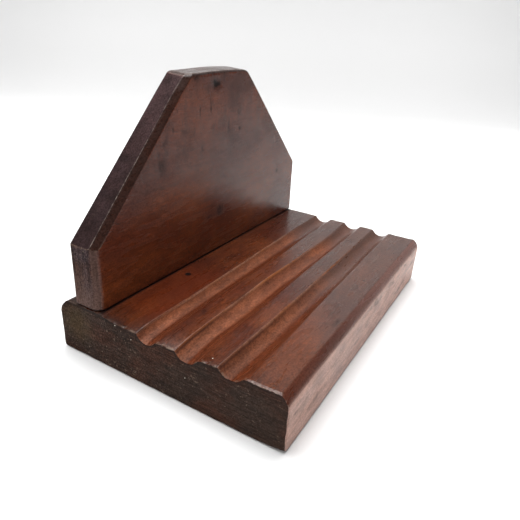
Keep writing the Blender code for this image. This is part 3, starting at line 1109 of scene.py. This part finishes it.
def paper():
    """White paper with painted shade: greyer from the bend on, a little lighter up its wall and
    towards the sides; far from the object it fades out.
    """
    g = Graph("white_paper")
    distance = g.vector("DOT_PRODUCT", g.place, tuple(VIEW_LINE))
    # Painted shade: the paper greys towards the bend and lightens up the wall and to the sides,
    # standing in for how the lamp's light falls off
    shade = g.range(distance, 0.72, 0.94, 0.86, 0.745)
    shade = g.math("ADD", shade, g.range(g.axis(g.place, "Z"), 0.03, 0.18, 0.0, 0.045))
    sideways = g.math("ABSOLUTE", g.vector("DOT_PRODUCT", g.place, tuple(VIEW_ACROSS)))
    shade = g.all(shade, g.range(sideways, 0.05, 0.60, 0.98, 1.055))
    g.shade(Base_Color=g.scale((1.0, 1.0, 1.0), shade), Roughness=0.9)

    level = g.vector("LENGTH", g.vector("MULTIPLY", g.place, (1.0, 1.0, 0.0)))
    seen = g.add("ShaderNodeLightPath").outputs["Is Camera Ray"]
    fade = g.add("ShaderNodeMixShader")
    g.put(fade.inputs[0], g.all(seen, g.range(level, 1.75, 2.3)))
    glow = g.add("ShaderNodeEmission")
    glow.inputs["Strength"].default_value = PALE_SURROUNDINGS
    g.put(fade.inputs[1], g.shader.outputs[0])
    g.put(fade.inputs[2], glow.outputs[0])
    g.put(g.tree.nodes["Material Output"].inputs["Surface"], fade.outputs[0])
    return g.material


def dress(piece, node, material):
    """Let a piece take the place of its CAD node, in its material."""
    piece.data.materials.clear()
    piece.data.materials.append(material)
    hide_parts(node)
    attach(piece, "root")


# ---------------------------------------------------------------- stage

def sweep():
    """White paper: a floor that curves up into a wall beyond the object."""
    profile = [(PAPER_START, 0.0), (-1.0, 0.0), (PAPER_BEND_AT, 0.0)]
    for step in range(1, PAPER_STEPS + 1):
        angle = math.radians(90) * step / PAPER_STEPS
        profile.append((PAPER_BEND_AT + PAPER_BEND * math.sin(angle),
                        PAPER_BEND * (1 - math.cos(angle))))
    profile.append((PAPER_BEND_AT + PAPER_BEND, PAPER_TOP))
    bm = bmesh.new()
    rows = []
    for distance, height in profile:
        foot = VIEW_LINE * distance + Vector((0, 0, height + float(BASE_LOW[2])))
        edges = VIEW_ACROSS * PAPER_HALF_WIDTH
        rows.append((bm.verts.new(foot - edges), bm.verts.new(foot + edges)))
    for (a, b), (c, d) in zip(rows, rows[1:]):
        bm.faces.new((a, c, d, b))
    bmesh.ops.recalc_face_normals(bm, faces=bm.faces)
    mesh = mesh_of("sweep", bm)
    mesh.shade_smooth()
    mesh.materials.append(paper())
    scene_object("sweep", mesh)


def surroundings():
    """A studio lit from above and behind, dark on the camera's side, pale where seen directly."""
    world = bpy.data.worlds.new("studio")
    bpy.context.scene.world = world
    world.use_nodes = True
    tree = world.node_tree
    direction = tree.nodes.new("ShaderNodeTexCoord").outputs["Generated"]
    dot = tree.nodes.new("ShaderNodeVectorMath")
    dot.operation = "DOT_PRODUCT"
    tree.links.new(direction, dot.inputs[0])
    dot.inputs[1].default_value = Vector((0.2, 0.75, 0.63)).normalized()
    ramp = tree.nodes.new("ShaderNodeMapRange")
    tree.links.new(dot.outputs["Value"], ramp.inputs["Value"])
    for socket, number in (("From Max", 0.6), ("To Min", 0.20), ("To Max", 1.20)):
        ramp.inputs[socket].default_value = number
    seen = tree.nodes.new("ShaderNodeLightPath").outputs["Is Camera Ray"]
    pick = tree.nodes.new("ShaderNodeMix")
    tree.links.new(seen, pick.inputs[0])
    tree.links.new(ramp.outputs["Result"], pick.inputs[2])
    pick.inputs[3].default_value = PALE_SURROUNDINGS
    tree.links.new(pick.outputs[0], tree.nodes["Background"].inputs["Strength"])
    tree.nodes["Background"].inputs["Color"].default_value = (1.0, 1.0, 1.0, 1.0)


def overhead_light():
    """One large, soft lamp above the block and a little behind it."""
    data = bpy.data.lights.new("overhead", "AREA")
    data.shape = "DISK"
    data.size = 1.2
    data.energy = 22.0
    lamp = scene_object("overhead", data)
    lamp.location = (0.10, 0.15, 1.25)
    lamp.rotation_euler = (-lamp.location).to_track_quat("-Z", "Y").to_euler()


def camera():
    """A wide lens close to the near end, looking down along the coves, a little tilted."""
    data = bpy.data.cameras.new("camera")
    data.sensor_width = 36.0
    data.lens = 33.34
    eye = Vector((-0.2612, -0.1404, 0.1774))
    aim = Vector((-0.0462, -0.0192, 0.0600))
    roll = math.radians(3.58)
    shot = scene_object("camera", data)
    level = (aim - eye).to_track_quat("-Z", "Y").to_matrix().to_4x4()
    shot.matrix_world = Matrix.Translation(eye) @ level @ Matrix.Rotation(roll, 4, "Z")
    bpy.context.scene.camera = shot


dress(worn_base(), "base_block", base_wood())
dress(worn_board(), "upright_board", board_wood())
screw_steel = steel()
for screw in SCREWS:
    frame["nodes"][screw].data.materials.clear()
    frame["nodes"][screw].data.materials.append(screw_steel)

sweep()
surroundings()
overhead_light()
camera()
bpy.context.scene.view_settings.view_transform = "Standard"
